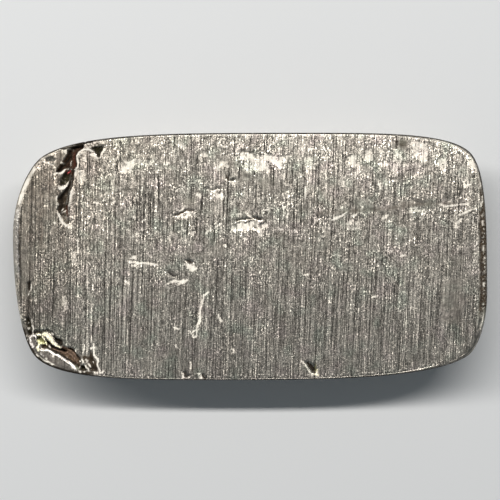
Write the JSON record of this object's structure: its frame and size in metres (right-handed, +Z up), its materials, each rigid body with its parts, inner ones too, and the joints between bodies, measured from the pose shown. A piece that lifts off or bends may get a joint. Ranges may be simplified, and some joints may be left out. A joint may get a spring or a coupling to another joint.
{
  "type": "metal ingot",
  "caption": "Small poured silver bar with rounded corners, a linished wide face up and a narrower mould side to rest on.",
  "frame": {"origin": "middle of the base that the bar rests on, under the middle of its bounding box", "axes": "+Z up through the thickness to the linished wide face, +X along the length, +Y across the width"},
  "size_m": [0.076, 0.0396, 0.0113],
  "materials": {
    "silver": "cast silver with light tarnish; the wide face is linished along the short way of the bar"
  },
  "bodies": {
    "root": {"ingot": "silver"}
  },
  "joints": []
}
